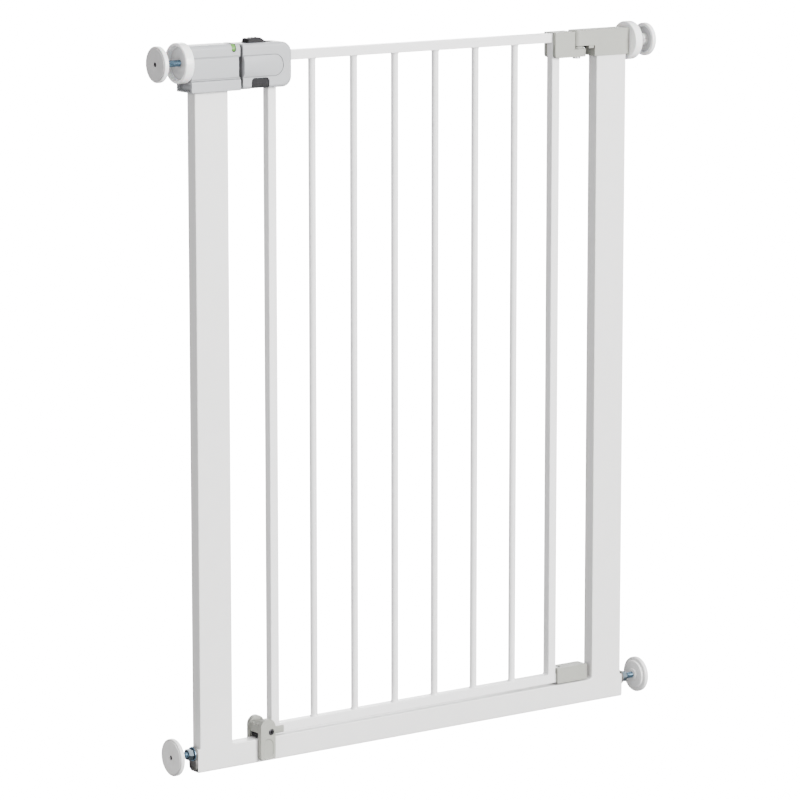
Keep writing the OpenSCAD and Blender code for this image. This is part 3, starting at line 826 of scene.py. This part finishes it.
# ---------------------------------------------------------------- build
def plain(name, mat, width):
    """A CAD node carried over with softened edges and its own finish."""
    obj = NODES[name]
    shade(obj, 30)
    bevel(obj, width, 2, 40, weighted=False)
    paint(obj, mat)


gate_frame()
rail_plugs()
latch_housing()
indicator()
hinge_bracket()
bottom_catch()
for x in (-328, -306):
    screw_head("housing_screw_%d" % -x, "frame", "housing_screws", "Y", 16.4, x, 872, 2.45, 6.2)
for x in (300, 322):
    screw_head("bracket_screw_%d" % x, "frame", "bracket_screws", "Y", 11.5, x, 866, 2.45, 3.2)
for z in (856, 896):
    screw_head("handle_screw_%d" % z, "door", "handle_screws", "Y", 16.9, -207, z, 2.45, 6)
screw_head("catch_screw", "frame", "catch_screw", "Y", 15.2, -233, 38, 3.8, 3.2, -1, BLACKSTEEL, 2.2)
screw_head("shoe_screw", "door", "shoe_screw", "Z", 52.2, 235, 0, 2.95, 4.8)
plain("spindle_guide", CHARCOAL, 0.4)
plain("keeper_plate", STEEL, 0.2)
plain("upper_hinge_pin", STEEL, 0.4)
plain("lower_hinge_pin", STEEL, 0.3)
plain("latch_bolt", STEEL, 0.6)
door_frame()
door_bars()
door_end_block()
hinge_knuckle()
lower_shoe()
handle()
handle_panel()
thumb_button()
trigger()
spring("thumb_spring", "X", -243.9, -226.1, 0, 888.6, 5, 0.8, 7)
spring("trigger_spring", "Y", -9, 13.9, -244.5, 858.2, 6, 0.8, 9)
spring("bolt_spring", "X", -244.9, -226.1, 0, 876, 8, 1.0, 6)
# corner, side, height, pad front, pad diameter, pad rim thickness, back of the wheel
CORNERS = (
    ("upper_left", -1, 884, 386.5, 44.5, 7.0, 345.1),
    ("upper_right", 1, 876.5, 377, 43, 7.0, 339.0),
    ("lower_left", -1, LOW_Z, 373.5, 47, 9.2, None),
    ("lower_right", 1, LOW_Z, 373.5, 47, 9.2, None),
)
for corner, sign, z, front, d, rim, wheel_x in CORNERS:
    threaded(corner, sign, z, front - 5.5)
    if wheel_x:
        hand_wheel("wheel_" + corner, sign, wheel_x, z)
        wall_pad(corner, sign, z, d, front, rim, WHITE, FACE)
    else:
        hex_nut("nut_" + corner, sign)
        wall_pad(corner, sign, z, d, front, rim, PADGREY, LOWFACE)


# ---------------------------------------------------------------- stage, light, camera
def backdrop(name, bm):
    """A stage surface that shines evenly towards the camera and leaves the object's light alone."""
    mesh = bpy.data.meshes.new(name)
    bm.to_mesh(mesh)
    bm.free()
    obj = bpy.data.objects.new(name, mesh)
    bpy.context.scene.collection.objects.link(obj)
    m = bpy.data.materials.new(name)
    m.use_nodes = True
    nt = m.node_tree
    grain = node(nt, "ShaderNodeTexNoise", {"Scale": 400}).outputs["Fac"]
    normal = node(nt, "ShaderNodeBump", {"Strength": 0.02, "Height": grain}).outputs["Normal"]
    feed(nt, nt.nodes["Principled BSDF"], {
        "Base Color": (0.9, 0.9, 0.9, 1), "Roughness": 0.8, "Specular IOR Level": 0.1,
        "Emission Color": (1, 1, 1, 1), "Emission Strength": 16.0, "Normal": normal,
    })
    mesh.materials.append(m)
    obj.visible_diffuse = False
    obj.visible_glossy = False
    return obj


def stage():
    """White floor and a cyclorama round it, with soft studio light mostly from the front."""
    bm = bmesh.new()
    for x, y in ((-20, -20), (20, -20), (20, 20), (-20, 20)):
        bm.verts.new((x, y, 0))
    bm.faces.new(bm.verts)
    backdrop("floor", bm).location.z = -0.0006
    bm = bmesh.new()
    bmesh.ops.create_uvsphere(bm, u_segments=48, v_segments=24, radius=19)
    backdrop("cyclorama", bm).visible_shadow = False
    lights = [
        ("key", (1.4, -4.9, 2.0), 2.2, 800.0, (1.0, 0.995, 0.985)),
        ("side", (-4.4, -3.0, 1.2), 2.6, 150.0, (1.0, 1.0, 1.0)),
        ("top", (0.3, -0.6, 4.5), 2.4, 130.0, (1.0, 1.0, 1.0)),
        ("back", (2.0, 4.4, 2.2), 2.6, 260.0, (1.0, 1.0, 1.0)),
    ]
    aim = Vector((0, 0, 0.45))
    for name, loc, size, power, colour in lights:
        data = bpy.data.lights.new(name, "AREA")
        data.shape = "SQUARE"
        data.size = size
        data.energy = power
        data.color = colour
        obj = bpy.data.objects.new(name, data)
        obj.location = loc
        obj.rotation_euler = (aim - Vector(loc)).to_track_quat("-Z", "Y").to_euler()
        bpy.context.scene.collection.objects.link(obj)
    world = bpy.data.worlds.new("studio")
    world.use_nodes = True
    feed(world.node_tree, world.node_tree.nodes["Background"], {"Color": (1, 1, 1, 1), "Strength": 0.5})
    bpy.context.scene.world = world


def camera():
    """Camera at the photograph's angle, found from the gate's real dimensions."""
    data = bpy.data.cameras.new("camera")
    data.sensor_width = 36.0
    data.lens = 185.09
    data.clip_start = 0.1
    data.clip_end = 100
    cam = bpy.data.objects.new("camera", data)
    cam.location = (-3.05065, -4.16583, 1.34328)
    cam.rotation_euler = (math.radians(90 - 9.9741), 0, -math.radians(36.0172))
    bpy.context.scene.collection.objects.link(cam)
    bpy.context.scene.camera = cam


stage()
camera()
